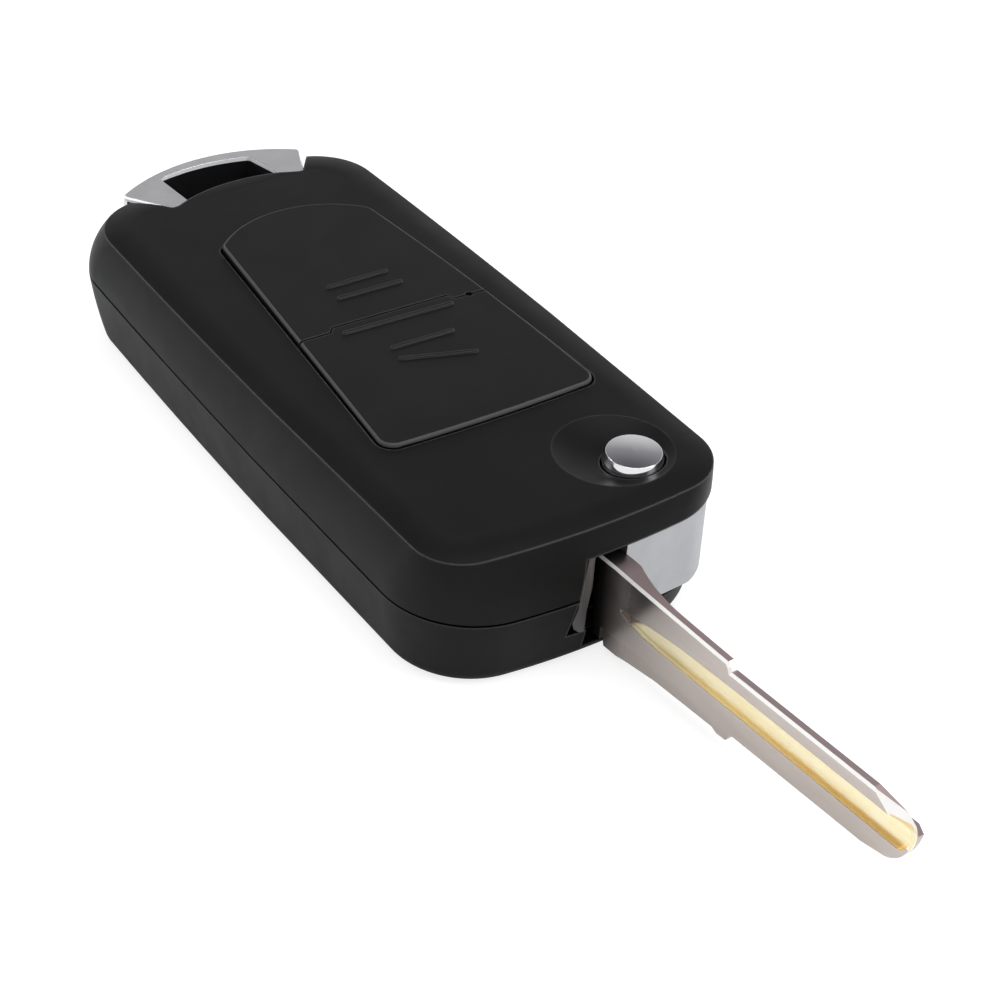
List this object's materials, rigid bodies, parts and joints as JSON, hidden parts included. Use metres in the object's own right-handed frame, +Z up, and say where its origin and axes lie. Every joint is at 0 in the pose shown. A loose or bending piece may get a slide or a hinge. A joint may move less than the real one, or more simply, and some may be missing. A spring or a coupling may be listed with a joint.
{
  "type": "flip key remote shell",
  "caption": "Folding car key with a remote handle: matte black shells, keys in a raised pad, chrome release button and key-ring bow, nickel blade shown open.",
  "frame": {"origin": "a point on the handle's flat underside, 61.5 mm ahead of the bow's rear edge and near the handle's centre line", "axes": "+X along the handle towards the blade's tip, +Z up through the keys and the release button, +Y towards the side that the blade folds into"},
  "size_m": [0.1219, 0.0364, 0.0166],
  "materials": {
    "shell_plastic": "soft satin black",
    "pad_plastic": "soft satin black",
    "bow_chrome": "satin chrome",
    "button_chrome": "mirror chrome",
    "stop_steel": "bright pressed steel",
    "plunger_zinc": "bare die-cast zinc",
    "carrier_silver": "satin silver",
    "blade_nickel": "nickel plate, brass in the milled groove",
    "pin_steel": "plain steel",
    "spring_steel": "spring steel",
    "membrane_rubber": "matte silicone",
    "board_green": "green solder mask",
    "switch_metal": "tinned cover",
    "chip_black": "moulded epoxy",
    "ceramic_tan": "ceramic",
    "ferrite_grey": "ferrite with enamelled wire",
    "lamp_clear": "clear red resin",
    "cell_steel": "stainless can",
    "tray_plastic": "moulded"
  },
  "bodies": {
    "handle": {"upper_shell": "shell_plastic", "lower_shell": "shell_plastic", "key_ring_bow": "bow_chrome", "carrier_stop": "stop_steel", "flip_spring": "spring_steel", "thrust_washer": "pin_steel", "keypad_membrane": "membrane_rubber", "circuit_board": "board_green", "tact_switches": "switch_metal", "switch_plungers": "chip_black", "control_chip": "chip_black", "radio_crystal": "switch_metal", "board_parts": "ceramic_tan", "antenna_coil": "ferrite_grey", "indicator_led": "lamp_clear", "transponder_chip": "chip_black", "coin_cell": "cell_steel", "cell_contact_top": "spring_steel", "cell_contact_bottom": "spring_steel", "board_tray": "tray_plastic", "case_screws": "pin_steel"},
    "blade": {"blade_carrier": "carrier_silver", "key_blade": "blade_nickel", "blade_pin": "pin_steel"},
    "release": {"release_button": "button_chrome", "latch_plunger": "plunger_zinc"},
    "lock": {"lock_key": "pad_plastic"},
    "unlock": {"unlock_key": "pad_plastic"}
  },
  "joints": [
    {"name": "blade_flip", "type": "hinge", "parent": "handle", "child": "blade", "pos_m": [0.0108, 0.0095, 0], "axis": [0, 0, 1], "range_deg": [0, 175.07], "stiffness_Nm_per_rad": 0.004, "springref_deg": -34.38},
    {"name": "release_press", "type": "slide", "parent": "handle", "child": "release", "axis": [0, 0, -1], "range_m": [0, 0.0012], "stiffness_N_per_m": 1500, "springref_m": -0.001},
    {"name": "lock_press", "type": "slide", "parent": "handle", "child": "lock", "axis": [0, 0, -1], "range_m": [0, 0.0004], "stiffness_N_per_m": 3000, "springref_m": -0.0003},
    {"name": "unlock_press", "type": "slide", "parent": "handle", "child": "unlock", "axis": [0, 0, -1], "range_m": [0, 0.0004], "stiffness_N_per_m": 3000, "springref_m": -0.0003}
  ]
}
